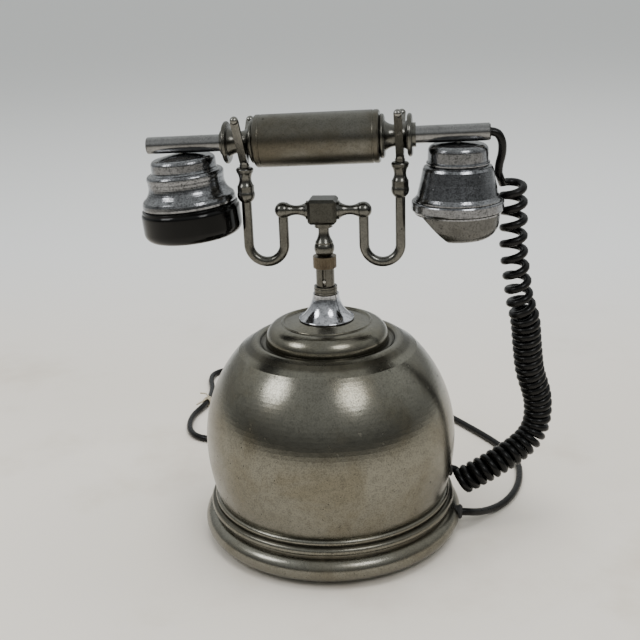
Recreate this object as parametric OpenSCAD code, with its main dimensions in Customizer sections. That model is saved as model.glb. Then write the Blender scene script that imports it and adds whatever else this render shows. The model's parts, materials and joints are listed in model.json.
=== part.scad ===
// Cradle telephone: dome base, sprung cradle, tube handset, dial and cords.
// Millimetres, +Z up, origin at the centre of the rubber pad's underside.
// +X is the mouthpiece end of the handset, +Y the dial side.

/* [Base] */
// Foot ring outer radius
foot_r = 82.5; // [70:0.5:95]
// Height of the foot ring
foot_h = 28; // [24:0.5:34]
// Dome outer radius at its widest
dome_r = 78.6; // [66:0.2:92]
// Height of the widest point of the dome
dome_z = 63; // [50:0.5:75]
// Dome sheet thickness
dome_t = 1.6; // [1:0.1:3]

/* [Stem] */
// Guide tube outer radius
guide_r = 5.6; // [5:0.1:7]
// Plunger rod radius
rod_r = 4; // [3:0.1:5]
// Top of the guide tube
guide_top = 172; // [160:0.5:185]

/* [Cradle] */
// Height of the arm axis
arm_z = 207; // [195:0.5:220]
// Half distance between the two inner rod legs
rod_in = 24.1; // [20:0.1:30]
// Half distance between the two outer rod legs
rod_out = 45.8; // [40:0.1:55]
// Cradle rod radius
urod_r = 3; // [2.4:0.1:4]
// Half difference in height between the two forks
fork_step = 1.2; // [0:0.1:2]

/* [Handset] */
// Height of the handset tube axis
hs_z = 248.9; // [240:0.1:260]
// Sideways shift of the handset on its forks
hs_x = -2; // [-3:0.1:3]
// Tilt of the handset, mouthpiece end up
hs_tilt = 1.5; // [0:0.1:4]
// Handset tube radius
tube_r = 5; // [4:0.1:6]
// Grip radius
grip_r = 15.3; // [12:0.1:18]
// Half length of the grip
grip_l = 36.3; // [30:0.1:45]
// Distance of the mouth cup axis from the handset centre
cup_x = 81; // [70:0.5:95]
// Distance of the ear cup axis from the handset centre
ear_x = 82; // [70:0.5:95]
// Inward tilt of the ear cup
ear_tilt = 3.3; // [0:0.1:8]

/* [Dial] */
// Upward tilt of the dial axis
dial_tilt = 20; // [10:1:35]
// Radius of the finger wheel
wheel_r = 35.5; // [32:0.5:38]

/* [Cords] */
// Cord radius
cord_r = 2.45; // [2:0.05:3]
// Outer radius of the curly cord
curl_r = 8.3; // [7:0.1:9]

/* [Hidden] */
$fn = 96;
eps = 0.01;
bend_r = (rod_out - rod_in) / 2;
bend_x = (rod_out + rod_in) / 2;
bend_z = 186.2;
cap_z = 125.4;

// ---------- shared helpers ----------

function arc(cx, cy, r, a0, a1, n) =
  [for (i = [0:n]) [cx + r * cos(a0 + (a1 - a0) * i / n), cy + r * sin(a0 + (a1 - a0) * i / n)]];

function unit(v) = v / norm(v);
function tangent(p, i) = unit(p[min(i + 1, len(p) - 1)] - p[max(i - 1, 0)]);

// Swept tube: points, one radius for each point, sides, and a vector never along the path.
module swept(p, r, n, ref) {
  verts = [for (i = [0:len(p) - 1])
    let (t = tangent(p, i), u = unit(cross(t, ref)), v = cross(u, t))
    for (k = [0:n - 1]) p[i] + r[i] * (cos(360 * k / n) * u + sin(360 * k / n) * v)];
  sides = [for (i = [0:len(p) - 2]) for (k = [0:n - 1])
    [i * n + k, i * n + (k + 1) % n, (i + 1) * n + (k + 1) % n, (i + 1) * n + k]];
  first = [for (k = [0:n - 1]) n - 1 - k];
  last = [for (k = [0:n - 1]) (len(p) - 1) * n + k];
  polyhedron(points = verts, faces = concat([first], sides, [last]));
}

module along_x(sign) {
  rotate([0, sign * 90, 0])
    children();
}

// Moves children into the handset's own frame, tube along X.
module on_handset() {
  translate([hs_x, 1, hs_z])
    rotate([0, -hs_tilt, 0])
      children();
}

// Cup frames: Z runs up the cup axis, zero on the tube axis.
module on_ear() {
  on_handset()
    translate([-ear_x, 0, 0])
      rotate([0, -ear_tilt, 0])
        children();
}

module on_mouth() {
  on_handset()
    translate([cup_x, 0, 0])
      rotate([0, hs_tilt, 0])
        children();
}

// Dial frame: Z runs out along the dial axis from the dome's centre.
module on_dial() {
  translate([0, 0, dome_z])
    rotate([-(90 - dial_tilt), 0, 0])
      children();
}

// ---------- base ----------

module foot_ring() {
  color("#9b978c")
  difference() {
    rotate_extrude()
      difference() {
        union() {
          translate([foot_r - 7.4, 9.8]) circle(r = 7.4);
          translate([70, 0.8]) square([foot_r - 77.3, 8]);
          translate([62, 3.8]) square([10, 5]);
          translate([70, 6]) square([foot_r - 76, 14]);
          translate([foot_r - 7.0, 21.6]) circle(r = 2.7);
          translate([70, 18]) square([foot_r - 77.4, 7]);
          translate([foot_r - 9.1, 25.9]) circle(r = 2.1);
          translate([70, 22]) square([foot_r - 79.1, foot_h - 22]);
        }
        translate([foot_r - 1.2, 18.6]) circle(r = 2.6);
      }
    rotate([0, 0, -5])
      translate([66, 0, 12])
        along_x(1)
          cylinder(r = 3.9, h = 20);
    rotate([0, 0, -5])
      translate([81.4, 0, 12])
        along_x(1)
          cylinder(r = 4.7, h = 6);
    for (a = [45:90:315])
      rotate([0, 0, a])
        translate([65.5, 0, 0])
          cylinder(r = 1.6, h = 8, $fn = 32);
  }
}

// Profile of the dome, outer skin at d = 0, inner skin at d = sheet thickness.
function dome_side(d) = concat(
  arc(dome_r - 120.4, dome_z, 120.4 - d, -16.9, 0, 8),
  arc(dome_r - 83.8, dome_z, 83.8 - d, 2, 44, 22));

module dome_shell() {
  color("#a6a297")
  difference() {
    rotate_extrude($fn = 128)
      polygon(concat(
        dome_side(0),
        [[50.6, 124.1], [47.4, 126.3], [44.9, 127.4], [43.2, 127.5], [41.9, 126.8], [41, 125.6],
         [40, cap_z - 0.4], [33, cap_z - 0.4], [33, cap_z - 2.2], [42.6, cap_z - 2.2],
         [43.8, 125.4], [45.6, 124.4], [48.4, 122.6]],
        [for (i = [len(dome_side(0)) - 1:-1:0]) dome_side(dome_t)[i]]));
    on_dial()
      translate([0, 0, 40])
        cylinder(r = 41.1, h = 50);
    rotate([0, 0, 8])
      translate([60, 0, 33.2])
        along_x(1)
          cylinder(r = 4.2, h = 24);
  }
}

module base_plate() {
  color("#6f6e69")
  difference() {
    translate([0, 0, 2])
      cylinder(r = 69.7, h = 1.6);
    for (a = [45:90:315])
      rotate([0, 0, a])
        translate([65.5, 0, 0])
          cylinder(r = 1.8, h = 6, $fn = 32);
    for (x = [-24:12:24])
      translate([x, 54, 0])
        cylinder(r = 2, h = 6, $fn = 32);
  }
}

module base_pad() {
  color("#1b1b1b")
  cylinder(r = 46, h = 2);
}

module base_screws() {
  color("#77756f")
  for (a = [45:90:315])
    rotate([0, 0, a])
      translate([65.5, 0, 0])
        difference() {
          union() {
            translate([0, 0, 0.9]) cylinder(r = 3.1, h = 1.1, $fn = 48);
            translate([0, 0, 1.9]) cylinder(r = 1.5, h = 5.6, $fn = 32);
          }
          translate([-0.4, -4, 0.7]) cube([0.8, 8, 0.7]);
        }
}

module top_cap() {
  color("#a6a297")
  rotate_extrude($fn = 128)
    polygon(concat(
      [[5.8, 137.6], [5.8, 139.3], [17.6, 139.3], [24.6, 137.8], [25.6, 137.7]],
      arc(26.9, 137.7, 0.9, 170, 10, 8),
      [[28.2, 137.6]],
      arc(27.9, 127.7, 9.9, 86, 3, 16),
      [[37.9, 126.4], [38.3, cap_z - 0.35], [36.6, cap_z - 0.35], [36.5, 126.6]],
      arc(27.9, 127.7, 8.4, 3, 90, 12),
      [[24, 136.2], [17, 137.6]]));
}

module stem_cone() {
  color("#c4c5c7")
  rotate_extrude($fn = 128)
    polygon(concat(
      [[5.7, 139.4], [15.6, 139.4]],
      arc(16.2, 140.1, 0.7, -80, 60, 8),
      arc(28.5, 156.9, 20.6, 234.5, 183.6, 18),
      [[7.9, 155.6], [5.7, 155.6]]));
}

module lower_collar() {
  color("#8d8a80")
  rotate_extrude()
    difference() {
      translate([5.7, 155.7]) square([1.4, 4.6]);
      translate([7.3, 156.9]) circle(r = 0.4);
      translate([7.3, 159.1]) circle(r = 0.4);
    }
}

module guide_tube() {
  color("#908d84")
  difference() {
    translate([0, 0, 107])
      cylinder(r = guide_r, h = guide_top - 107);
    translate([0, 0, 100])
      cylinder(r = rod_r + 0.08, h = 80);
    translate([-1.15, -10, 161])
      cube([2.3, 10, 10.4]);
  }
}

module collar_nut() {
  color("#6d5f4e")
  difference() {
    translate([0, 0, guide_top + 0.1])
      cylinder(r = 7.1, h = 7);
    translate([0, 0, 170])
      cylinder(r = rod_r + 0.08, h = 20);
    for (a = [0:15:345])
      rotate([0, 0, a])
        translate([7.3, 0, guide_top + 1.1])
          cylinder(r = 0.45, h = 5.4, $fn = 12);
  }
}

module stem_locknut() {
  color("#8a867c")
  difference() {
    translate([0, 0, 132.5])
      cylinder(r = 11, h = 5, $fn = 6);
    translate([0, 0, 120])
      cylinder(r = guide_r + 0.1, h = 20);
  }
}

module line_grommet() {
  color("#161616")
  rotate([0, 0, -5])
    translate([0, 0, 12])
      along_x(1)
        rotate_extrude()
          polygon([[2.6, 70.4], [3.8, 70.4], [3.8, 81.6], [4.6, 81.9], [4.6, 83.2], [3.6, 84.2], [2.6, 84.4]]);
}

module curly_grommet() {
  color("#161616")
  rotate([0, 0, 8])
    translate([0, 0, 33.2])
      along_x(1)
        rotate_extrude()
          polygon([[2.6, 70.5], [4.1, 70.5], [4.1, 76.2], [4.9, 76.3], [4.9, 77.2], [3.8, 77.9], [2.6, 77.9]]);
}

// ---------- dial ----------

module dial_bezel() {
  color("#b9b6ad")
  on_dial()
    rotate_extrude($fn = 128)
      union() {
        difference() {
          translate([37, 60]) square([4, 12.6]);
          translate([36, 61]) square([2.2, 6.8]);
        }
        translate([39.2, 72.6]) circle(r = 1.8);
        translate([37, 68.4]) square([2.2, 4.2]);
      }
}

module number_plate() {
  color("#ece8da")
  on_dial()
    difference() {
      translate([0, 0, 68])
        cylinder(r = 36.8, h = 1.2);
      translate([0, 0, 67])
        cylinder(r = 6.6, h = 4);
    }
}

module finger_stop() {
  color("#c4c5c7")
  on_dial()
    rotate([0, 0, 160])
      union() {
        translate([37.6, -2.2, 74.45]) cube([3, 4.4, 1.6]);
        translate([24.5, -1.6, 74.8]) cube([15, 3.2, 1.2]);
        translate([24.5, 0, 74.8]) cylinder(r = 1.6, h = 1.2);
      }
}

module dial_can() {
  color("#8d8b85")
  on_dial()
    difference() {
      translate([0, 0, 46])
        cylinder(r = 30, h = 21.8);
      translate([0, 0, 44])
        cylinder(r = 28.6, h = 22);
    }
}

module finger_wheel() {
  color("#bfc0c0")
  on_dial()
    difference() {
      union() {
        translate([0, 0, 72.2]) cylinder(r = wheel_r, h = 1.4);
        translate([0, 0, 68.3]) cylinder(r = 6.2, h = 4.2);
      }
      for (i = [0:9])
        rotate([0, 0, 225 + 30 * i])
          translate([26.4, 0, 70])
            cylinder(r = 6.2, h = 6, $fn = 48);
    }
}

module hub_cap() {
  color("#b9b6ad")
  on_dial()
    rotate_extrude()
      polygon([[0, 73.7], [11.5, 73.7], [11.5, 74.1], [10.6, 74.8], [8, 75.4], [0, 75.6]]);
}

// ---------- inside the base ----------

module bridge() {
  color("#8f8d86")
  difference() {
    union() {
      translate([-32, -13, 76]) cube([72, 26, 2]);
      translate([-32, -13, 3.7]) cube([2, 26, 73]);
      translate([38, -13, 3.7]) cube([2, 26, 73]);
      translate([16, -7.5, 62]) cube([8, 2, 14.5]);
      translate([16, 5.5, 62]) cube([8, 2, 14.5]);
      translate([20, -7, 66.7]) rotate([-90, 0, 0]) cylinder(r = 1, h = 14, $fn = 48);
      translate([-30.5, -13, 3.7]) cube([8, 26, 1.6]);
      translate([30.5, -13, 3.7]) cube([8, 26, 1.6]);
    }
    translate([0, 0, 70])
      cylinder(r = rod_r + 0.4, h = 10);
  }
}

module switch_stack() {
  color("#4a3527")
  union() {
    translate([29, -5, 56]) cube([8.9, 10, 19.9]);
    translate([24.6, -3, 58.4]) cube([5, 6, 0.5]);
    translate([24.6, -3, 60.4]) cube([5, 6, 0.5]);
  }
}

module hook_lever() {
  color("#b39b5e")
  difference() {
    union() {
      translate([-4, -3, 65.7]) cube([24, 6, 2]);
      translate([20, -3, 65.7]) cube([7.6, 6, 2]);
      translate([20, -5, 66.7]) rotate([-90, 0, 0]) cylinder(r = 2.8, h = 10, $fn = 48);
    }
    translate([20, -8, 66.7]) rotate([-90, 0, 0]) cylinder(r = 1.06, h = 16, $fn = 48);
  }
}

module ringer_frame() {
  color("#8f8d86")
  union() {
    translate([-34, -48, 3.7]) cube([68, 12, 2]);
    translate([-14, -37, 3.7]) cube([28, 18, 2]);
    for (x = [-26, 26])
      translate([x, -42, 5])
        cylinder(r = 3, h = 25.4, $fn = 48);
    translate([-3, -48, 5]) cube([6, 2, 10]);
    translate([-3, -38, 5]) cube([6, 2, 10]);
    translate([0, -47, 12]) rotate([-90, 0, 0]) cylinder(r = 1, h = 10, $fn = 48);
  }
}

module ringer_coils() {
  color("#6b2f1c")
  for (x = [-9, 9])
    translate([x, -27, 5.7])
      union() {
        cylinder(r = 7.5, h = 1.5);
        cylinder(r = 6.4, h = 24);
        translate([0, 0, 22.5]) cylinder(r = 7.5, h = 1.5);
      }
}

module gongs() {
  color("#c9b06a")
  for (x = [-26, 26])
    translate([x, -42, 30.5])
      union() {
        rotate_extrude()
          polygon([[0, 6.6], [8, 6.6], [14, 5.4], [17.6, 3], [18.6, 0], [19.5, 0], [18.6, 3.5], [14.6, 6.6],
            [8.4, 7.9], [0, 7.9]]);
        translate([0, 0, 0.1]) cylinder(r = 2.6, h = 8.4, $fn = 48);
        translate([0, 0, 7.8]) cylinder(r = 4, h = 1.8, $fn = 48);
      }
}

module clapper() {
  color("#b39b5e")
  difference() {
    union() {
      translate([0, -45.6, 12]) rotate([-90, 0, 0]) cylinder(r = 2.6, h = 7.2, $fn = 48);
      translate([0, -42, 12]) cylinder(r = 0.9, h = 22, $fn = 24);
      translate([0, -42, 34]) sphere(r = 4);
      translate([-11, -44, 9]) cube([22, 4, 2]);
    }
    translate([0, -50, 12]) rotate([-90, 0, 0]) cylinder(r = 1.06, h = 16, $fn = 48);
  }
}

module terminal_board() {
  color("#5b3a22")
  union() {
    translate([-24, 22, 9]) cube([48, 20, 2.4]);
    for (x = [-20, 20])
      translate([x, 32, 3.7])
        cylinder(r = 3, h = 5.5, $fn = 48);
  }
}

module terminal_screws() {
  color("#b39b5e")
  for (x = [-15:10:15])
    translate([x, 32, 11.4])
      difference() {
        cylinder(r = 3, h = 1.8, $fn = 48);
        translate([-4, -0.4, 1.1]) cube([8, 0.8, 1]);
      }
}

// Compression spring round the plunger: one helical wire.
module cradle_spring() {
  color("#a5a6a8")
  swept([for (i = [0:70]) [5.6 * cos(i * 25.7), 5.6 * sin(i * 25.7), 78.9 + i * 0.248]],
    [for (i = [0:70]) 0.7], 6, [0, 0, 1]);
}

// ---------- cradle ----------

module cradle_stem() {
  color("#8a867c")
  difference() {
    union() {
      rotate_extrude()
        union() {
          intersection() {
            translate([0, 183.9]) circle(r = 6.1);
            translate([0, 170]) square([10, 30]);
          }
          translate([0, 68]) square([rod_r, 113]);
          difference() {
            translate([0, 185]) square([5.6, 14.2]);
            translate([14.8, 194.4]) circle(r = 11.6);
            translate([5.3, 182]) square([2, 7]);
          }
          translate([0, 196.9]) square([5.4, 2.7]);
        }
    }
    translate([0, 5, 164]) rotate([90, 0, 0]) cylinder(r = 0.9, h = 12, $fn = 32);
  }
}

module plunger_pin() {
  color("#77756f")
  translate([0, 3, 164])
    rotate([90, 0, 0])
      cylinder(r = 0.88, h = 8.4, $fn = 32);
}

module plunger_collar() {
  color("#8a867c")
  difference() {
    translate([0, 0, 97.2])
      cylinder(r = 7.4, h = 3);
    translate([0, 0, 90])
      cylinder(r = rod_r + 0.02, h = 20);
  }
}

module cradle_block() {
  color("#7d796e")
  intersection() {
    translate([-8.6, -8.6, arm_z - 7.4]) cube([17.2, 17.2, 14.8]);
    translate([0, 0, arm_z]) rotate([0, 0, 45]) cube([21.6, 21.6, 20], center = true);
    translate([0, 0, arm_z]) rotate([45, 0, 0]) cube([20, 20.2, 20.2], center = true);
    translate([0, 0, arm_z]) rotate([0, 45, 0]) cube([20.2, 20, 20.2], center = true);
  }
}

// One turned arm along its own Z, ball centre at the rod leg.
module arm() {
  rotate_extrude()
    union() {
      translate([0, 8.6]) square([5.6, 1.3]);
      difference() {
        translate([0, 9.8]) square([4.9, 12]);
        translate([12.6, 16]) circle(r = 9.8);
      }
      intersection() {
        translate([0, rod_in]) circle(r = 4.9);
        translate([0, 10]) square([6, 30]);
      }
    }
}

module left_arm() {
  color("#8a867c")
  difference() {
    translate([0, 0, arm_z]) along_x(-1) arm();
    translate([-rod_in, 0, arm_z - 10]) cylinder(r = urod_r + 0.02, h = 7);
  }
}

module right_arm() {
  color("#8a867c")
  difference() {
    translate([0, 0, arm_z]) along_x(1) arm();
    translate([rod_in, 0, arm_z - 10]) cylinder(r = urod_r + 0.02, h = 7);
  }
}

// U-shaped rod on the +X side, its outer leg ending at height top.
module u_rod(top) {
  union() {
    translate([rod_in, 0, bend_z]) cylinder(r = urod_r, h = arm_z - 3.1 - bend_z);
    translate([rod_out, 0, bend_z]) cylinder(r = urod_r, h = top - bend_z);
    translate([bend_x, 0, bend_z])
      rotate([90, 0, 0])
        rotate([0, 0, 180])
          rotate_extrude(angle = 180)
            translate([bend_r, 0])
              circle(r = urod_r, $fn = 48);
  }
}

module left_rod() {
  color("#8a867c")
  mirror([1, 0, 0]) u_rod(213.4 - fork_step);
}

module right_rod() {
  color("#8a867c")
  u_rod(213.4 + fork_step);
}

// Turned finial: ball, vase neck and flange, with the leg's socket below.
module finial(z) {
  translate([0, 0, z])
    difference() {
      rotate_extrude()
        union() {
          intersection() {
            circle(r = 5.3);
            translate([0, -8]) square([8, 16]);
          }
          difference() {
            translate([0, 2]) square([5, 13.4]);
            translate([10.6, 9.4]) circle(r = 7);
          }
          translate([3.9, 14.9]) circle(r = 1.35);
          translate([0, 13.6]) square([3.9, 2.6]);
          translate([0, 14.6]) square([3, 3.4]);
        }
      translate([0, 0, -8]) cylinder(r = urod_r + 0.02, h = 3.7);
    }
}

module left_finial() {
  color("#8a867c")
  translate([-rod_out, 0, 0]) finial(217.8 - fork_step);
}

module right_finial() {
  color("#8a867c")
  translate([rod_out, 0, 0]) finial(217.8 + fork_step);
}

// Two flat prongs in a V with ball tips, leaning a little to the dial side.
module fork(z, sx) {
  translate([sx, 0, z])
    union() {
      cylinder(r = 2.6, h = 1.6);
      rotate([-5, 0, 0])
        union() {
          intersection() {
            union() {
              rotate([42, 0, 0]) translate([-2.3, -1.2, -0.6]) cube([4.6, 2.4, 35]);
              rotate([-42, 0, 0]) translate([-2.3, -1.2, -0.6]) cube([4.6, 2.4, 33]);
            }
            translate([-5, -40, 0.9]) cube([10, 80, 60]);
          }
          rotate([42, 0, 0]) translate([0, 0, 35.4]) sphere(r = 2.4, $fn = 48);
          rotate([-42, 0, 0]) translate([0, 0, 33.4]) sphere(r = 2.4, $fn = 48);
        }
    }
}

module left_fork() {
  color("#9a978d")
  fork(235.9 - fork_step, -rod_out);
}

module right_fork() {
  color("#9a978d")
  fork(235.9 + fork_step, rod_out);
}

// ---------- handset ----------

module handset_tube() {
  color("#b4b3ae")
  on_handset()
    difference() {
      translate([-101.5, 0, 0]) along_x(1) cylinder(r = tube_r, h = 200);
      translate([-103, 0, 0]) along_x(1) cylinder(r = tube_r - 0.9, h = 204);
      translate([-ear_x, 0, 0]) rotate([0, 180 - ear_tilt, 0]) cylinder(r = 1.6, h = 11, $fn = 32);
      translate([cup_x, 0, 0]) rotate([0, 180 + hs_tilt, 0]) cylinder(r = 1.6, h = 11, $fn = 32);
    }
}

module grip_sleeve() {
  color("#8c8576")
  on_handset()
    along_x(1)
      difference() {
        rotate_extrude($fn = 128)
          difference() {
            polygon([[14, -grip_l], [grip_r - 0.7, -grip_l], [grip_r, 0.8 - grip_l],
              [grip_r, grip_l - 0.8], [grip_r - 0.7, grip_l], [14, grip_l]]);
            translate([grip_r + 0.3, 3.4 - grip_l]) circle(r = 0.6, $fn = 24);
            translate([grip_r + 0.3, grip_l - 3.4]) circle(r = 0.6, $fn = 24);
          }
      }
}

// Turned end spool along its own Z: plug inside the grip, flange, neck, outer disc.
module spool() {
  rotate_extrude()
    difference() {
      union() {
        translate([5.05, grip_l - 4]) square([8.9, 4]);
        translate([5.05, grip_l]) square([6.4, 2.8]);
        translate([11.45, grip_l + 1.4]) circle(r = 1.3);
        translate([5.05, grip_l + 2]) square([5, 14.6]);
        translate([5.05, 52.2]) square([6.2, 2.8]);
        translate([11.1, 53.6]) circle(r = 1.3);
        translate([5.05, 54]) square([1.9, 3]);
      }
      intersection() {
        translate([15.6, 45.8]) circle(r = 9.4);
        translate([6, 39.2]) square([20, 12.9]);
      }
    }
}

module left_spool() {
  color("#a3a097")
  on_handset() along_x(-1) spool();
}

module right_spool() {
  color("#a3a097")
  on_handset() along_x(1) spool();
}

module ear_cup() {
  color("#a9a9a8")
  on_ear()
    difference() {
      rotate_extrude($fn = 128)
        polygon(concat(
          [[1.7, -5.15]],
          arc(0, -65.2, 60, 86, 75, 8),
          arc(16.4, -10.3, 3, 72, 0, 7),
          [[19.4, -14.2], [19.6, -15], [20.4, -15.7]],
          arc(20.9, -18, 2.3, 84, 5, 6),
          [[23.2, -18.6], [22.9, -20.2]],
          arc(32.6, -22.6, 9.8, 171, 234, 9),
          [[27.4, -31.2], [27.9, -32.6], [28.1, -34.2], [27.9, -35.4], [27.5, -36],
           [25.9, -36], [25.9, -33], [22, -29], [21, -24], [21, -18.4], [18, -17.2], [17.9, -11.6], [15.6, -9.4], [1.7, -7]]));
      cylinder(r = 1.7, h = 20, center = true, $fn = 32);
    }
}

module ear_cap() {
  color("#101010")
  on_ear()
    difference() {
      rotate_extrude($fn = 128)
        polygon(concat(
          [[0, -50], [24.8, -50], [25.4, -36.2], [27.7, -36.2], [28.9, -36.7]],
          arc(26.4, -40, 3.4, 40, 0, 5),
          [[29.8, -46]],
          arc(24, -49.6, 5.8, 0, -75, 8),
          [[24, -55.2], [16, -53.4], [0, -52.4]]));
      for (a = [0:60:300])
        rotate([0, 0, a])
          translate([6, 0, -56])
            cylinder(r = 1.1, h = 8, $fn = 24);
      translate([0, 0, -56]) cylinder(r = 1.1, h = 8, $fn = 24);
      for (a = [15:30:345])
        rotate([0, 0, a])
          translate([11, 0, -56])
            cylinder(r = 1.1, h = 8, $fn = 24);
    }
}

module mouth_cup() {
  color("#a9a9a8")
  on_mouth()
    rotate_extrude($fn = 128)
      polygon(concat(
        [[1.7, -5.1], [5, -5.25], [9.5, -5.6], [13, -6.1]],
        arc(13.6, -9.8, 3.7, 82, 0, 7),
        [[17.4, -15.2]],
        arc(17.4, -16.6, 0.9, 80, -80, 6),
        [[18.2, -18], [19.6, -18.8], [20.3, -20.2], [21.6, -27], [23.5, -35.2], [24.4, -36.6],
         [25.2, -37.4], [25.2, -38.2], [22.8, -38.2], [22, -34.8], [20, -27], [18.7, -20.4], [16.4, -18.6],
         [15.9, -10.8], [13, -7.8], [8, -7], [1.7, -6.7]]));
}

module mouth_rim() {
  color("#a9a9a8")
  on_mouth()
    rotate_extrude($fn = 128)
      polygon([[23.2, -38.3], [25.9, -38.3], [26.5, -38.6], [26.8, -39.2], [26.8, -43.2], [26.5, -43.8],
        [25.5, -44.8], [25.1, -45.8], [23.2, -45.8]]);
}

// Bowl profile, d is the inward offset.
function bowl(d) = concat([[0, -45.8], [24.7 - d, -45.8], [24.4 - d, -49]],
  arc(13.2, -50.2, 11 - d, -2, -62, 12), arc(0, -26.2, 36 - d, -60, -90, 8));

module mouth_bowl() {
  color("#b4b1a6")
  on_mouth()
    difference() {
      intersection() {
        rotate_extrude($fn = 128) polygon(bowl(0));
        translate([-10.4, 0, -54.9]) rotate([0, 43.5, 0]) translate([-60, -40, 0]) cube([120, 80, 60]);
      }
      intersection() {
        translate([0, 0, 1]) rotate_extrude($fn = 128) polygon(bowl(1.4));
        translate([-10.4, 0, -54.9]) rotate([0, 43.5, 0]) translate([-60, -40, 1.4]) cube([120, 80, 60]);
      }
      translate([-10.4, 0, -54.9]) rotate([0, 43.5, 0]) translate([0, 0, -2]) cylinder(r = 8.6, h = 6);
    }
}

module mouth_grille() {
  color("#1a1a1a")
  on_mouth()
    translate([-10.4, 0, -54.9])
      rotate([0, 43.5, 0])
        difference() {
          translate([0, 0, 0.3]) cylinder(r = 8.5, h = 1.1);
          for (a = [0:60:300])
            rotate([0, 0, a]) translate([4.2, 0, -1]) cylinder(r = 0.9, h = 4, $fn = 24);
          translate([0, 0, -1]) cylinder(r = 0.9, h = 4, $fn = 24);
        }
}

module cup_screws() {
  color("#a3a097")
  union() {
    on_ear() translate([0, 0, -9]) cylinder(r = 1.5, h = 5.6, $fn = 32);
    on_ear() translate([0, 0, -10.4]) cylinder(r = 3.4, h = 2, $fn = 32);
    on_mouth() translate([0, 0, -9]) cylinder(r = 1.5, h = 5.6, $fn = 32);
    on_mouth() translate([0, 0, -10.4]) cylinder(r = 3.4, h = 2, $fn = 32);
  }
}

module left_plug() {
  color("#1a1a1a")
  on_handset()
    translate([-101.9, 0, 0])
      along_x(1)
        union() {
          cylinder(r = 4.7, h = 0.4);
          cylinder(r = 4.05, h = 6);
        }
}

module right_bush() {
  color("#1a1a1a")
  on_handset()
    translate([90, 0, 0])
      along_x(1)
        union() {
          cylinder(r = 4.05, h = 8.5);
          translate([0, 0, 8.5]) cylinder(r = 4.4, h = 0.6);
        }
}

// ---------- cords ----------

module handset_tail() {
  color("#121212")
  swept([[97.12, 1, 251.5], [99, 1, 251.55], [101.4, 1.6, 250.2], [102.6, 3, 246.4], [102.8, 5, 240],
    [103, 7.4, 233], [104.4, 9.8, 227], [106.6, 12, 223.6], [108.6, 13.6, 221.4],
    [110.4, 14.8, 219], [111.2, 15.3, 213.6], [111.7, 15.4, 208.4], [112, 15.4, 203.2]],
    concat([for (i = [0:7]) cord_r], [cord_r + 2, curl_r], [for (i = [0:2]) curl_r]), 10, [0, 1, 0]);
}

module curly_cord() {
  color("#121212")
  swept([[112.1, 15.4, 201.6], [112.2, 15.2, 194], [112.7, 15, 179], [114.8, 15.4, 163], [117.4, 17, 147],
    [121.2, 19.4, 132.6], [123.2, 22.4, 114.9], [125.8, 26.8, 96.4], [130.6, 31, 80], [132.2, 32.6, 69],
    [131.2, 31.4, 57], [126.4, 27, 48.6], [118.4, 21.6, 43], [110.6, 16.6, 39.2], [101.6, 12.4, 35],
    [92, 9.9, 30], [87.4, 9.4, 27.4], [82.6, 8.9, 24.9]],
    [for (i = [0:17]) i < 4 ? curl_r : curl_r + 0.9], 12, [0, 1, 0]);
}

module line_cord() {
  color("#141414")
  swept([[84.2, -7.4, 12], [88.4, -5.6, 11], [92.8, -1.6, 8.8], [97.4, 3.8, 6.4], [102.6, 10.6, 4.2], [108, 17.6, 3],
    [113, 24.8, 2.8], [118.2, 35.2, 2.8], [122.2, 48.4, 2.8], [124.2, 62, 2.8], [124.4, 76, 2.8], [121.4, 89, 2.8],
    [116.4, 101, 2.8], [109.6, 113, 2.8], [101.4, 125, 2.8], [91.6, 138, 2.8], [80.6, 152, 2.8], [68, 167, 2.8],
    [54, 181, 2.8], [38, 194, 2.8], [20, 204, 2.8], [2, 210.4, 2.8], [-14, 211.4, 2.8], [-26, 209.6, 2.8]],
    [for (i = [0:23]) cord_r], 8, [0, 0, 1]);
}

module line_coil() {
  color("#141414")
  translate([-30, 175.5, 0])
    rotate_extrude($fn = 64)
      union() {
        for (x = [24.6, 29.5, 34.4])
          translate([x, 2.8]) circle(r = cord_r, $fn = 24);
        for (x = [27, 32])
          translate([x, 7.1]) circle(r = cord_r, $fn = 24);
        translate([29.5, 11.4]) circle(r = cord_r, $fn = 24);
        translate([25.6, 1.2]) square([7.8, 5.4]);
        translate([28, 5]) square([3, 5.4]);
      }
}

module line_tail() {
  color("#141414")
  swept([[-62.7, 186.1, 2.8], [-66.2, 174.6, 2.8], [-69, 162, 2.8], [-73.4, 148.6, 2.8], [-79.6, 135, 2.8],
    [-87.6, 122.6, 2.8], [-97, 112.6, 2.8], [-108, 107.4, 2.8],
    [-120, 114.6, 2.8], [-128.4, 126.6, 2.8], [-132, 141, 2.8], [-131.6, 156, 2.8], [-127, 170, 3],
    [-125.8, 182, 3.2], [-128, 196, 3], [-131.6, 211, 2.8], [-135.6, 226, 2.8], [-136, 238, 2.8], [-130, 247, 2.8],
    [-118, 251.6, 2.8], [-103, 253.4, 2.8], [-88, 254, 2.8], [-74, 254, 3.4], [-66, 254, 3.8]],
    [for (i = [0:23]) cord_r], 8, [0, 0, 1]);
}

module line_plug() {
  color("#c9c4b2")
  union() {
    translate([-66, 249, 0.4]) cube([24, 10, 7]);
    translate([-42, 250.4, 1]) cube([9, 7.2, 4.4]);
    translate([-57, 251.4, 7.4]) cube([13, 5.2, 1.4]);
  }
}

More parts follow.
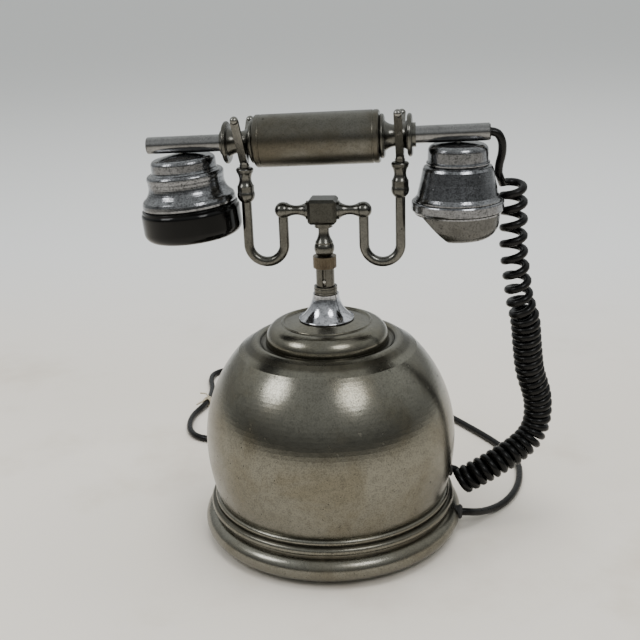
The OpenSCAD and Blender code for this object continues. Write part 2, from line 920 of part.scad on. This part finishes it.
foot_ring();
dome_shell();
base_plate();
base_pad();
base_screws();
top_cap();
stem_cone();
lower_collar();
guide_tube();
collar_nut();
stem_locknut();
line_grommet();
curly_grommet();
dial_bezel();
number_plate();
finger_stop();
dial_can();
finger_wheel();
hub_cap();
bridge();
switch_stack();
hook_lever();
ringer_frame();
ringer_coils();
gongs();
clapper();
terminal_board();
terminal_screws();
cradle_spring();
cradle_stem();
plunger_pin();
plunger_collar();
cradle_block();
left_arm();
right_arm();
left_rod();
right_rod();
left_finial();
right_finial();
left_fork();
right_fork();
handset_tube();
grip_sleeve();
left_spool();
right_spool();
ear_cup();
ear_cap();
mouth_cup();
mouth_rim();
mouth_bowl();
mouth_grille();
cup_screws();
left_plug();
right_bush();
handset_tail();
curly_cord();
line_cord();
line_coil();
line_tail();
line_plug();
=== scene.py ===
"""Looks of a cradle desk telephone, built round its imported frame."""

import json
import math

import bmesh
import bpy
from mathutils import Matrix, Vector


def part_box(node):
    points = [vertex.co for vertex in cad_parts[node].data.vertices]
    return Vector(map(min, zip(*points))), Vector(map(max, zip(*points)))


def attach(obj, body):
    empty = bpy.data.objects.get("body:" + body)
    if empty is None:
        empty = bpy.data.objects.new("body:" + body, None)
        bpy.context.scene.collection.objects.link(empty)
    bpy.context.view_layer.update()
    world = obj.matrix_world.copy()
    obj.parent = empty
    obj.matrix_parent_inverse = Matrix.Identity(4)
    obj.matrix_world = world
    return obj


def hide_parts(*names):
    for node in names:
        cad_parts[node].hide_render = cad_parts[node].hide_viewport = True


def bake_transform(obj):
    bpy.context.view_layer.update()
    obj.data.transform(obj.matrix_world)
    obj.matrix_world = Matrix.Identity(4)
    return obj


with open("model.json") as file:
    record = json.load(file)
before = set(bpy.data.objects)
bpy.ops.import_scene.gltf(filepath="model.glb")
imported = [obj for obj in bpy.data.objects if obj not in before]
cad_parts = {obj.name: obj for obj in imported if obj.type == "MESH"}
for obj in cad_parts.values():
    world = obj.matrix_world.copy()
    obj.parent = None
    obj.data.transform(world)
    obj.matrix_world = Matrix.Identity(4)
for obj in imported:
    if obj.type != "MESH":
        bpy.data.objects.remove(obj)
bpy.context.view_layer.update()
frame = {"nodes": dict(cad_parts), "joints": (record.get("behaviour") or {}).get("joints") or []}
nodes = frame["nodes"]

# ---------------------------------------------------------------- camera
# A hand-held view of the telephone's back, from a little to its right and from above,
# tipped slightly to one side.
camera = bpy.data.objects.new("camera", bpy.data.cameras.new("camera"))
bpy.context.collection.objects.link(camera)
camera.data.sensor_width = 36
camera.data.lens = 55.6
camera.matrix_world = (
    Matrix.Translation((0.0759, -0.5700, 0.3354))
    @ Matrix.Rotation(math.radians(8), 4, "Z")
    @ Matrix.Rotation(math.radians(71.07), 4, "X")
    @ Matrix.Rotation(math.radians(-2.1), 4, "Z")
)
bpy.context.scene.camera = camera

# ---------------------------------------------------------------- handset cord
# The curly cord: 4.9 mm black PVC wound on a rod and set, so that it springs back. It
# leaves the dome through a grommet, hangs in closed turns, opens where the handset's
# weight pulls it, and runs up into the open end of the handset tube.
CORD_WIDTH = 0.0049
POINTS_A_TURN = 16
STRAIGHT_STEP = 0.0012
AXIS_STEP = 0.0005


def smooth_line(stops, step):
    """Points about step apart on a smooth line through stops given in millimetres."""
    stops = [Vector(stop) / 1000 for stop in stops]
    stops = [2 * stops[0] - stops[1], *stops, 2 * stops[-1] - stops[-2]]
    line = []
    for a, b, c, d in zip(stops, stops[1:], stops[2:], stops[3:]):
        parts = max(2, round((c - b).length / step))
        for i in range(parts):
            t = i / parts
            square = (2 * a - 5 * b + 4 * c - d) * t**2
            cube = (3 * b - a - 3 * c + d) * t**3
            line.append(0.5 * (2 * b + (c - a) * t + square + cube))
    return line + [stops[-2]]


def between(value, table):
    """Straight-line reading of a table of (value, result) pairs."""
    if value <= table[0][0]:
        return table[0][1]
    for (x0, y0), (x1, y1) in zip(table, table[1:]):
        if value <= x1:
            return y0 + (y1 - y0) * (value - x0) / (x1 - x0)
    return table[-1][1]


def wound(axis, pitches, radii, first_side, last_side):
    """Turns round a line, from one side of its low end to one side of its high end.

    Pitches and radii are tables by height. The turns are spread evenly so that they fit.
    """
    steps = [b - a for a, b in zip(axis, axis[1:])]
    side, sides, turn = first_side, [], [0.0]
    for a, step in zip(axis, steps):
        ahead = step.normalized()
        side = (side - ahead * side.dot(ahead)).normalized()
        sides.append((side, ahead.cross(side)))
        turn.append(turn[-1] + math.tau * step.length / between(a.z, pitches))
    end = math.atan2(last_side.dot(sides[-1][1]), last_side.dot(sides[-1][0]))
    stretch = (end + math.tau * round((turn[-1] - end) / math.tau)) / turn[-1]
    line, i = [], 0
    for part in range(int(turn[-1] * stretch / (math.tau / POINTS_A_TURN)) + 1):
        wanted = part * math.tau / POINTS_A_TURN / stretch
        while turn[i + 1] < wanted:
            i += 1
        centre = axis[i].lerp(axis[i + 1], (wanted - turn[i]) / (turn[i + 1] - turn[i]))
        angle = wanted * stretch
        out = math.cos(angle) * sides[i][0] + math.sin(angle) * sides[i][1]
        line.append(centre + between(centre.z, radii) * out)
    return line


def as_mesh(name, curve):
    """The mesh that a curve or text makes. The curve's own object is taken away again."""
    drawn = bpy.data.objects.new(name, curve)
    bpy.context.collection.objects.link(drawn)
    mesh = bpy.data.meshes.new_from_object(drawn.evaluated_get(bpy.context.evaluated_depsgraph_get()))
    bpy.data.objects.remove(drawn)
    return mesh


def as_piece(name, mesh):
    """A new object of that name in the scene, with that mesh."""
    piece = bpy.data.objects.new(name, mesh)
    bpy.context.collection.objects.link(piece)
    return piece


def tube(name, line, width, sides=3):
    """A round tube of that width along a line, as a mesh."""
    curve = bpy.data.curves.new(name, "CURVE")
    curve.dimensions = "3D"
    curve.bevel_depth = width / 2
    curve.bevel_resolution = sides
    curve.use_fill_caps = True
    spline = curve.splines.new("POLY")
    spline.points.add(len(line) - 1)
    for point, place in zip(spline.points, line):
        point.co = (*place, 1)
    mesh = as_mesh(name, curve)
    mesh.polygons.foreach_set("use_smooth", [True] * len(mesh.polygons))
    return as_piece(name, mesh)


coil_axis = smooth_line(
    [
        (82.9, 9, 25.1), (87.4, 9.4, 27.4), (92, 9.9, 30), (101.6, 12.4, 35), (110.6, 16.6, 39.2),
        (118.4, 21.6, 43), (126.4, 27, 48.6), (131.2, 31.4, 57), (132.2, 32.6, 69), (130.6, 31, 80),
        (125.8, 26.8, 96.4), (123.2, 22.4, 114.9), (121.2, 19.4, 132.6), (117.4, 17, 147),
        (114.8, 15.4, 163), (112.7, 15, 179), (112.2, 15.2, 194), (112, 15.4, 203),
        (111.4, 15.3, 213), (110.8, 14.8, 219.5),
    ],
    AXIS_STEP,
)
turns = wound(
    coil_axis,
    pitches=[
        (0.131, 0.00502), (0.137, 0.0068), (0.146, 0.0080), (0.158, 0.0090), (0.175, 0.0098),
        (0.205, 0.0100), (0.213, 0.0085), (0.22, 0.0062),
    ],
    radii=[(0.06, 0.00675), (0.08, 0.0070), (0.134, 0.0070), (0.150, 0.0063), (0.21, 0.0062)],
    first_side=Vector((-0.352, 0.643, 0.68)),
    last_side=Vector((-1, 0.2, 0)),
)
lead_in = smooth_line(
    [(72, 10.1, 33.2), (75.5, 10.6, 33.2), (78.6, 11.6, 32.4), (80.2, 12.9, 30.8)], STRAIGHT_STEP
)
lead_out = smooth_line(
    [
        (102.3, 10.4, 226.6), (102.7, 8.2, 231.8), (103.9, 5.2, 238.6), (103.6, 2.4, 245.4),
        (101.2, 1.3, 250.1), (97.12, 1, 251.5), (94, 1, 251.4),
    ],
    STRAIGHT_STEP,
)
handset_line = lead_in + turns + lead_out
handset_lead = tube("handset_lead", handset_line, CORD_WIDTH)


class Tint:
    """Something that varies over a surface. Sums written on it add Math nodes."""

    def __init__(self, socket):
        self.socket = socket

    def node(self, kind, settings=(), sockets=(), out=0):
        """Any other node of this material, with its settings set first."""
        tree = self.socket.id_data
        made = tree.nodes.new("ShaderNode" + kind)
        for name, value in dict(settings).items():
            setattr(made, name, value)
        for name, value in dict(sockets).items():
            if isinstance(value, Tint):
                tree.links.new(value.socket, made.inputs[name])
            else:
                made.inputs[name].default_value = value
        return Tint(made.outputs[out])

    def sum(self, operation, first, second):
        return self.node("Math", {"operation": operation}, {0: first, 1: second})

    def __add__(self, other):
        return self.sum("ADD", self, other)

    def __sub__(self, other):
        return self.sum("SUBTRACT", self, other)

    def __rsub__(self, other):
        return self.sum("SUBTRACT", other, self)

    def __mul__(self, other):
        return self.sum("MULTIPLY", self, other)

    __radd__, __rmul__ = __add__, __mul__

    def part(self, axis):
        """One number of a place: 0, 1 or 2 for x, y or z."""
        return self.node("SeparateXYZ", {}, {0: self}, axis)

    def noise(self, scale, detail=2.0, roughness=0.5, distortion=0.0):
        """A cloudy pattern with scale cells to a metre."""
        shape = {"Detail": detail, "Roughness": roughness, "Distortion": distortion}
        return self.node("TexNoise", {}, {"Vector": self, "Scale": scale, **shape})

    def step(self, low, high):
        """0 below low, 1 above high, smooth between."""
        return self.node("MapRange", {"interpolation_type": "SMOOTHSTEP"}, {0: self, 1: low, 2: high})

    def colours(self, first, second):
        """First colour where this is 0, second where it is 1."""
        pair = [c if isinstance(c, Tint) else (*c, 1) for c in (first, second)]
        return self.node("Mix", {"data_type": "RGBA"}, {0: self, 6: pair[0], 7: pair[1]}, 2)

    def bumps(self, strength, distance):
        return self.node("Bump", {}, {"Height": self, "Strength": strength, "Distance": distance})


def new_finish(name, **constants):
    """A material, its shader, and the place on the piece."""
    made = bpy.data.materials.new(name)
    made.use_nodes = True
    shader = made.node_tree.nodes["Principled BSDF"]
    for socket, value in constants.items():
        shader.inputs[socket.replace("_", " ")].default_value = value
    return made, shader, Tint(made.node_tree.nodes.new("ShaderNodeTexCoord").outputs["Object"])


def feed(shader, **sockets):
    """Joins what varies to the shader's sockets."""
    for name, tint in sockets.items():
        shader.id_data.links.new(tint.socket, shader.inputs[name.replace("_", " ")])


def paint(finish, *pieces):
    """Gives pieces, or nodes of the frame by name, one material."""
    for piece in pieces:
        mesh = (nodes[piece] if isinstance(piece, str) else piece).data
        mesh.materials.clear()
        mesh.materials.append(finish)


# Semi-gloss black, with the faint ripple that extruding leaves, and a little dust.
cord_black, shader, place = new_finish("cord_black_pvc", Specular_IOR_Level=0.2)
ripple = place.noise(700, 2, 0.5)
dust = place.noise(90, 4, 0.6).step(0.5, 0.8)
feed(
    shader,
    Base_Color=dust.colours((0.003, 0.003, 0.003), (0.009, 0.0085, 0.008)),
    Roughness=0.22 + 0.10 * ripple + 0.12 * dust,
    Normal=ripple.bumps(0.12, 0.0002),
)
paint(cord_black, handset_lead)
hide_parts("curly_cord", "handset_tail")
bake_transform(handset_lead)

# ---------------------------------------------------------------- line cord
# The lead to the wall: the same PVC cord, out of the foot ring through a grommet, in a
# loose bend round the right-hand side, with its spare length wound into a coil behind
# the dome. A paper-covered wire tie is twisted on it near the plug.
COIL_CENTRE = Vector((-30, 175.5, 0))
COIL_START = math.radians(83.3)
COIL_PARTS = 20
COIL_TURNS = 6.2
LINE_STEP = 0.002


def coil_point(turn):
    """A place on the put-away turns, in millimetres, counted from where the cord joins them."""
    angle = COIL_START + math.tau * turn
    radius = between(
        turn,
        [
            (0.8, 34.4), (1, 29.5), (1.8, 29.5), (2, 24.6), (2.5, 24.6), (2.75, 27), (3.8, 27), (4, 32),
            (4.55, 32), (4.8, 29.5), (5.85, 29.5), (6.08, 34.4), (6.21, 39.6),
        ],
    )
    height = between(
        turn,
        [
            (2.5, 2.6), (2.75, 7.3), (4.55, 7.3), (4.8, 12), (5.8, 12), (5.98, 10), (6.1, 7.9),
            (6.21, 6.6),
        ],
    )
    return COIL_CENTRE + Vector((radius * math.cos(angle), radius * math.sin(angle), height))


round_the_dome = [
    (80.2, -8.2, 12), (84.2, -7.4, 12), (88.4, -5.6, 11), (92.8, -1.6, 8.8), (97.4, 3.8, 6.4),
    (102.6, 10.6, 4.2), (108, 17.6, 2.8), (113, 24.8, 2.5), (118.2, 35.2, 2.5), (122.2, 48.4, 2.5),
    (124.2, 62, 2.5), (124.4, 76, 2.5), (121.4, 89, 2.5), (116.4, 101, 2.5), (109.6, 113, 2.5),
    (101.4, 125, 2.5), (91.6, 138, 2.5), (80.6, 152, 2.5), (68, 167, 2.5), (54, 181, 2.5),
    (38, 194, 2.5), (20, 204, 2.5), (2, 210.2, 2.5), (-14, 211.2, 2.6),
]
put_away = [coil_point(part / COIL_PARTS) for part in range(round(COIL_TURNS * COIL_PARTS) + 1)]
to_the_plug = [
    (-69.4, 180, 3.6), (-70.8, 169, 2.5), (-73.4, 151, 2.5), (-79.6, 135, 2.5), (-87.6, 122.6, 2.5),
    (-97, 112.6, 2.5), (-108, 107.4, 2.5), (-120, 111.4, 2.5), (-128, 122, 2.5), (-132, 137, 2.5),
    (-132.2, 152, 2.5), (-128.6, 166, 3.4), (-126.6, 178, 3.8), (-127.8, 192, 3), (-130.6, 208, 2.5),
    (-135.4, 225, 2.5), (-136, 238, 2.5), (-130, 247, 2.5), (-118, 251.6, 2.5), (-103, 253.4, 2.5),
    (-88, 254, 2.5), (-74, 254, 3.4), (-65, 254, 3.8),
]
line_line = smooth_line(round_the_dome + put_away + to_the_plug, LINE_STEP)
line_lead = tube("line_lead", line_line, CORD_WIDTH)
paint(cord_black, line_lead)

# The tie goes three times round the cord and ends in two short twists.
TIE_WIDTH = 0.0013
TIE_LENGTH = 0.006
TIE_RADIUS = 0.0031
TIE_PARTS = 20
TIE_TURNS = 3
tie_centre = Vector((-127, 175.5, 3.9)) / 1000
tie_ahead = Vector((0.12, 0.993, 0))
tie_up = Vector((0, 0, 1))
tie_side = tie_up.cross(tie_ahead)
tie_turns = []
for part in range(TIE_TURNS * TIE_PARTS + 1):
    angle = math.tau * part / TIE_PARTS
    middle = tie_centre + tie_ahead * (part / (TIE_TURNS * TIE_PARTS) - 0.5) * TIE_LENGTH
    tie_turns.append(middle + TIE_RADIUS * (math.cos(angle) * tie_up + math.sin(angle) * tie_side))
tie_start = [
    tie_turns[0] + Vector((-0.0052, -0.011, -0.0002)),
    tie_turns[0] + Vector((-0.0016, -0.006, 0.0006)),
]
tie_end = [
    tie_turns[-1] + Vector((-0.003, 0.004, 0.0008)),
    tie_turns[-1] + Vector((-0.0085, 0.006, 0.0004)),
]
twist_tie = tube("twist_tie", tie_start + tie_turns + tie_end, TIE_WIDTH, 2)
tie_paper, shader, place = new_finish("tie_paper", Roughness=0.8)
fibres = place.noise(800, 3, 0.6).step(0.35, 0.65)
feed(shader, Base_Color=fibres.colours((0.36, 0.31, 0.22), (0.56, 0.50, 0.38)))
paint(tie_paper, twist_tie)
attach(twist_tie, "base")

# The plug is a moulded block in cream plastic that has yellowed.
plug_cream, shader, place = new_finish("plug_cream_plastic", IOR=1.49)
yellowed = place.noise(120, 3, 0.6)
feed(
    shader,
    Base_Color=yellowed.step(0.35, 0.7).colours((0.70, 0.66, 0.54), (0.60, 0.53, 0.38)),
    Roughness=0.28 + 0.2 * yellowed,
    Normal=place.noise(1500).bumps(0.05, 0.0001),
)
paint(plug_cream, "line_plug")

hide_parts("line_cord", "line_coil", "line_tail")
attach(line_lead, "base")


# ---------------------------------------------------------------- base
# Foot ring, dome and step cap: spun sheet metal, nickel plated and satin finished. Age
# has left a fine dark speckle all over, cloudy brown stains and grime in the grooves.
def aged_metal(name, clean, stain, roughness, speckle, stains=0.5, bump=0.05, grain=1100, grimy=()):
    """Plated metal with a fine dark speckle, pits and cloudy stains.

    Clean and stain are colours, speckle and stains say how strong each is, grain is how
    many specks there are to a metre, and grimy holds pairs of heights with grime between.
    """
    made, shader, place = new_finish(name, Metallic=1.0)
    fine = place.noise(grain, 3, 0.65)
    mottle = place.noise(grain / 5, 4, 0.65)
    cloud = place.noise(24, 5, 0.62, 0.4)
    pits = place.noise(grain * 0.3, 1, 0.4).step(0.74, 0.77)
    dark = fine.step(0.42, 0.68) * speckle + mottle.step(0.42, 0.72) * (speckle * 0.45)
    patch = cloud.step(0.40, 0.68) * stains
    colour = patch.colours(clean, stain)
    for low, high in grimy:
        middle, half = (low + high) / 2, (high - low) / 2
        away = place.part(2) - middle
        near = 1 - away.sum("ABSOLUTE", away, 0.0).step(half * 0.3, half)
        colour = (near * (0.5 + 0.4 * mottle)).colours(colour, tuple(0.3 * c for c in stain))
        patch = patch + near * 0.6
    feed(
        shader,
        Base_Color=(dark + pits * 0.35).colours(colour, tuple(0.22 * c for c in clean)),
        Roughness=roughness + 0.10 * fine + 0.10 * patch + 0.25 * pits,
        Normal=(fine * 0.6 + mottle - pits).bumps(bump, 0.0004),
    )
    return made


cap_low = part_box("top_cap")[0].z
CAP_JOINT = (cap_low - 0.0020, cap_low + 0.0026)
FOOT_GROOVES = [(0.0166, 0.0192), (0.0232, 0.0248)]
dome_nickel = aged_metal(
    "dome_satin_nickel",
    clean=(0.208, 0.201, 0.168),
    stain=(0.146, 0.128, 0.086),
    roughness=0.16,
    speckle=0.42,
    stains=0.6,
    bump=0.07,
    grimy=[CAP_JOINT],
)
paint(dome_nickel, "dome_shell", "top_cap")
foot_nickel = aged_metal(
    "foot_satin_nickel",
    clean=(0.210, 0.204, 0.174),
    stain=(0.146, 0.131, 0.094),
    roughness=0.20,
    speckle=0.36,
    stains=0.6,
    bump=0.06,
    grimy=FOOT_GROOVES,
)
paint(foot_nickel, "foot_ring")

# ---------------------------------------------------------------- stem and cradle
# The flared cone is bright chrome plate that has gone mottled. The guide tube and the
# turned and bent pieces of the cradle are duller nickel, screwed and soldered together,
# with the block between the arms darkened as painted shade, and the knurled nut has gone brown.
cone_chrome = aged_metal(
    "cone_mottled_chrome",
    clean=(0.72, 0.73, 0.77),
    stain=(0.34, 0.34, 0.37),
    roughness=0.035,
    speckle=0.62,
    bump=0.16,
    grain=480,
)
paint(cone_chrome, "stem_cone")
cradle_nickel = aged_metal(
    "cradle_tarnished_nickel",
    clean=(0.150, 0.148, 0.134),
    stain=(0.070, 0.065, 0.052),
    roughness=0.15,
    speckle=0.45,
    stains=0.7,
    bump=0.10,
)
paint(cradle_nickel, "guide_tube", "lower_collar", "cradle_stem", "left_arm", "right_arm")
paint(cradle_nickel, "left_rod", "right_rod", "left_finial", "right_finial")
paint(cradle_nickel, "left_spool", "right_spool")
# The block's nickel is painted much darker than the rest of the cradle: painted shade for the dark slot
# between the arms.
slot_shade_block_nickel = aged_metal(
    "block_nickel_painted_shade",
    clean=(0.085, 0.084, 0.074),
    stain=(0.045, 0.042, 0.034),
    roughness=0.26,
    speckle=0.4,
    stains=0.6,
    bump=0.10,
)
paint(slot_shade_block_nickel, "cradle_block")
fork_nickel = aged_metal(
    "fork_nickel",
    clean=(0.25, 0.247, 0.23),
    stain=(0.13, 0.122, 0.10),
    roughness=0.16,
    speckle=0.4,
    bump=0.08,
)
paint(fork_nickel, "left_fork", "right_fork")
nut_brown = aged_metal(
    "nut_brown_brass",
    clean=(0.15, 0.125, 0.09),
    stain=(0.07, 0.052, 0.034),
    roughness=0.28,
    speckle=0.3,
    stains=0.8,
    bump=0.1,
)
paint(nut_brown, "collar_nut")

# ---------------------------------------------------------------- handset
# A nickel tube through a satin grip, with pitted chrome cups screwed under its ends, a
# rougher chrome bowl under the mouthpiece, darkened as painted shade, and a turned black ear cap.
cup_chrome = aged_metal(
    "cup_pitted_chrome",
    clean=(0.285, 0.29, 0.305),
    stain=(0.165, 0.165, 0.165),
    roughness=0.09,
    speckle=0.75,
    bump=0.20,
    grain=1000,
)
paint(cup_chrome, "ear_cup", "mouth_cup", "mouth_rim")
# The bowl's chrome is a darker, rougher copy of the cup chrome: painted shade under the mouthpiece.
underside_shade_bowl_chrome = aged_metal(
    "bowl_chrome_painted_shade",
    clean=(0.128, 0.127, 0.121),
    stain=(0.078, 0.074, 0.064),
    roughness=0.20,
    speckle=0.5,
    stains=0.7,
    bump=0.12,
    grain=1000,
)
paint(underside_shade_bowl_chrome, "mouth_bowl")
tube_nickel = aged_metal(
    "tube_bright_nickel",
    clean=(0.27, 0.27, 0.27),
    stain=(0.17, 0.167, 0.16),
    roughness=0.16,
    speckle=0.45,
    stains=0.4,
    bump=0.08,
    grain=1500,
)
paint(tube_nickel, "handset_tube")
grip_nickel = aged_metal(
    "grip_stained_nickel",
    clean=(0.142, 0.138, 0.120),
    stain=(0.088, 0.076, 0.053),
    roughness=0.24,
    speckle=0.32,
    stains=0.8,
    bump=0.06,
)
paint(grip_nickel, "grip_sleeve")

black_gloss, shader, place = new_finish("black_bakelite_gloss", Specular_IOR_Level=0.22)
wipes = place.noise(140, 4, 0.7)
feed(
    shader,
    Base_Color=wipes.step(0.55, 0.8).colours((0.0015, 0.0015, 0.0015), (0.006, 0.006, 0.006)),
    Roughness=0.10 + 0.14 * wipes.step(0.4, 0.8),
    Normal=place.noise(400, 2).bumps(0.03, 0.0002),
)
paint(black_gloss, "ear_cap", "mouth_grille")

# ---------------------------------------------------------------- rubber
# Moulded black rubber: the pad under the foot, the grommets of both cords, and the plug
# and the bush in the ends of the handset tube.
rubber, shader, place = new_finish("black_rubber")
wear = place.noise(200, 3).step(0.4, 0.8)
feed(
    shader,
    Base_Color=wear.colours((0.010, 0.010, 0.010), (0.024, 0.023, 0.022)),
    Roughness=0.55 + 0.2 * place.noise(900),
    Normal=place.noise(1600, 2).bumps(0.15, 0.0002),
)
paint(rubber, "base_pad", "line_grommet", "curly_grommet", "left_plug", "right_bush")

# ---------------------------------------------------------------- dial
# Chromed finger wheel and stop over a cream enamel plate, in a satin ring on the side
# away from the cords. The numbers are printed on the enamel inside the finger holes.
bezel_nickel = aged_metal(
    "bezel_satin_nickel",
    clean=(0.52, 0.50, 0.45),
    stain=(0.34, 0.30, 0.22),
    roughness=0.20,
    speckle=0.2,
    stains=0.4,
)
paint(bezel_nickel, "dial_bezel", "hub_cap")
wheel_chrome = aged_metal(
    "wheel_chrome",
    clean=(0.66, 0.66, 0.67),
    stain=(0.45, 0.44, 0.42),
    roughness=0.09,
    speckle=0.2,
    stains=0.3,
)
paint(wheel_chrome, "finger_wheel", "finger_stop")
enamel, shader, place = new_finish("cream_enamel", IOR=1.52)
aged = place.noise(60, 4, 0.6)
feed(
    shader,
    Base_Color=aged.step(0.4, 0.75).colours((0.76, 0.73, 0.62), (0.60, 0.54, 0.40)),
    Roughness=0.12 + 0.15 * aged,
    Normal=place.noise(300, 2).bumps(0.03, 0.0002),
)
paint(enamel, "number_plate")

HOLE_CIRCLE = 0.0264
FIRST_HOLE, HOLE_STEP = math.radians(45), math.radians(30)
DIGIT_SIZE, INK_THICKNESS, INK_LIFT = 0.0085, 0.00012, 0.0001
turn_joint = next(joint for joint in frame["joints"] if joint["name"] == "dial_turn")
dial_middle = Vector(turn_joint["pos_m"])
outward = Vector(turn_joint["axis"]).normalized()
rightward = Vector((-1, 0, 0))
upward = outward.cross(rightward)
plate_face = max(outward.dot(v.co - dial_middle) for v in nodes["number_plate"].data.vertices)
stand = Matrix((rightward, upward, outward)).transposed().to_4x4()
digits = bmesh.new()
for i in range(10):
    angle = FIRST_HOLE + HOLE_STEP * i
    curve = bpy.data.curves.new("digit", "FONT")
    curve.body = str((i + 1) % 10)
    curve.size = DIGIT_SIZE
    curve.extrude = INK_THICKNESS
    curve.align_x, curve.align_y = "CENTER", "CENTER"
    flat = as_mesh("digit", curve)
    across_plate = HOLE_CIRCLE * (math.cos(angle) * rightward + math.sin(angle) * upward)
    spot = dial_middle + outward * (plate_face + INK_LIFT) + across_plate
    flat.transform(Matrix.Translation(spot) @ stand)
    digits.from_mesh(flat)
bmesh.ops.remove_doubles(digits, verts=digits.verts, dist=1e-6)
mesh = bpy.data.meshes.new("dial_digits")
digits.to_mesh(mesh)
dial_digits = as_piece("dial_digits", mesh)
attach(dial_digits, "base")
ink, shader, place = new_finish("black_ink")
worn = place.noise(900, 3).step(0.5, 0.8)
feed(
    shader,
    Base_Color=worn.colours((0.010, 0.010, 0.012), (0.03, 0.03, 0.03)),
    Roughness=0.3 + 0.2 * place.noise(700),
)
paint(ink, dial_digits)

# ---------------------------------------------------------------- inside the base
# Zinc-plated steel brackets and screws, brass levers and gongs, copper windings and
# brown moulded blocks, hidden by the dome and the bottom plate.
zinc = aged_metal(
    "zinc_plate",
    clean=(0.50, 0.50, 0.48),
    stain=(0.36, 0.35, 0.31),
    roughness=0.32,
    speckle=0.2,
    stains=0.4,
)
paint(zinc, "base_plate", "base_screws", "stem_locknut", "dial_can", "bridge", "ringer_frame")
paint(zinc, "plunger_pin", "plunger_collar", "cradle_spring", "cup_screws")
brass = aged_metal(
    "plain_brass", clean=(0.68, 0.50, 0.22), stain=(0.36, 0.24, 0.10), roughness=0.24, speckle=0.2
)
paint(brass, "hook_lever", "clapper", "gongs", "terminal_screws")
brown, shader, place = new_finish("brown_bakelite", IOR=1.55)
swirl = place.noise(180, 5, 0.65, 0.8)
feed(
    shader,
    Base_Color=swirl.step(0.35, 0.7).colours((0.10, 0.045, 0.022), (0.045, 0.020, 0.011)),
    Roughness=0.3 + 0.15 * swirl,
    Normal=swirl.bumps(0.05, 0.0003),
)
paint(brown, "terminal_board", "switch_stack")
WIRE_WIDTH = 0.0005
copper, shader, place = new_finish("varnished_copper", Metallic=0.6)
height = place.part(2) * (math.tau / WIRE_WIDTH)
# The colour runs darker between the turns of wire: painted shade; the same wave also makes the ridges
# as bumps.
wire_ridges_and_shade = height.sum("SINE", height, 0.0) * 0.5 + 0.5
feed(
    shader,
    Base_Color=wire_ridges_and_shade.colours((0.16, 0.05, 0.02), (0.42, 0.15, 0.06)),
    Roughness=0.3 + 0.1 * place.noise(900),
    Normal=wire_ridges_and_shade.bumps(0.5, 0.0002),
)
paint(copper, "ringer_coils")

# ---------------------------------------------------------------- room
# Pale floor that greys with distance, two round soft lights at the front that show in
# the dome, a wide one above that shows in nothing, and a dim room.
FLOOR_HALF = 90
floor_grid = bmesh.new()
bmesh.ops.create_grid(floor_grid, x_segments=1, y_segments=1, size=FLOOR_HALF)
mesh = bpy.data.meshes.new("floor")
floor_grid.to_mesh(mesh)
floor = as_piece("floor", mesh)
pale_floor, shader, place = new_finish("pale_floor", Roughness=0.75)
away = place.part(1)
marks = place.noise(7, 6, 0.62).step(0.5, 0.75) * (1 - away.step(0.2, 0.6))
near = (marks * 0.45).colours((0.75, 0.70, 0.625), (0.50, 0.43, 0.34))
feed(
    shader,
    Base_Color=away.step(0.15, 0.75).colours(near, (0.78, 0.785, 0.78)),
    Normal=place.noise(60, 4).bumps(0.05, 0.001),
)
paint(pale_floor, floor)

for name, spot, target, power, size in (
    ("lamp_left", (-0.638, -0.335, 0.711), (-0.02, -0.05, 0.1), 2.3, 0.36),
    ("lamp_right", (0.397, -0.533, 0.779), (0.02, -0.05, 0.1), 2.3, 0.36),
    ("lamp_over", (0.2, 0.3, 2.2), (0, 0.1, 0), 40, 1.8),
):
    lamp = bpy.data.lights.new(name, "AREA")
    lamp.shape = "DISK"
    lamp.size = size
    lamp.energy = power
    lit = bpy.data.objects.new(name, lamp)
    bpy.context.collection.objects.link(lit)
    aim = (Vector(target) - Vector(spot)).to_track_quat("-Z", "Y")
    lit.matrix_world = Matrix.Translation(spot) @ aim.to_matrix().to_4x4()
    lit.visible_camera = False
    lit.visible_glossy = name != "lamp_over"

world = bpy.data.worlds.new("room")
bpy.context.scene.world = world
world.use_nodes = True
sky = world.node_tree.nodes["Background"]
facing = Tint(world.node_tree.nodes.new("ShaderNodeTexCoord").outputs["Generated"])
brightness = 0.10 + 0.32 * facing.part(1).step(-0.45, 0.5) + 0.50 * facing.part(2).step(0.0, 0.60)
room = brightness.colours((0, 0, 0), (0.97, 1.0, 0.985))
world.node_tree.links.new(room.socket, sky.inputs["Color"])
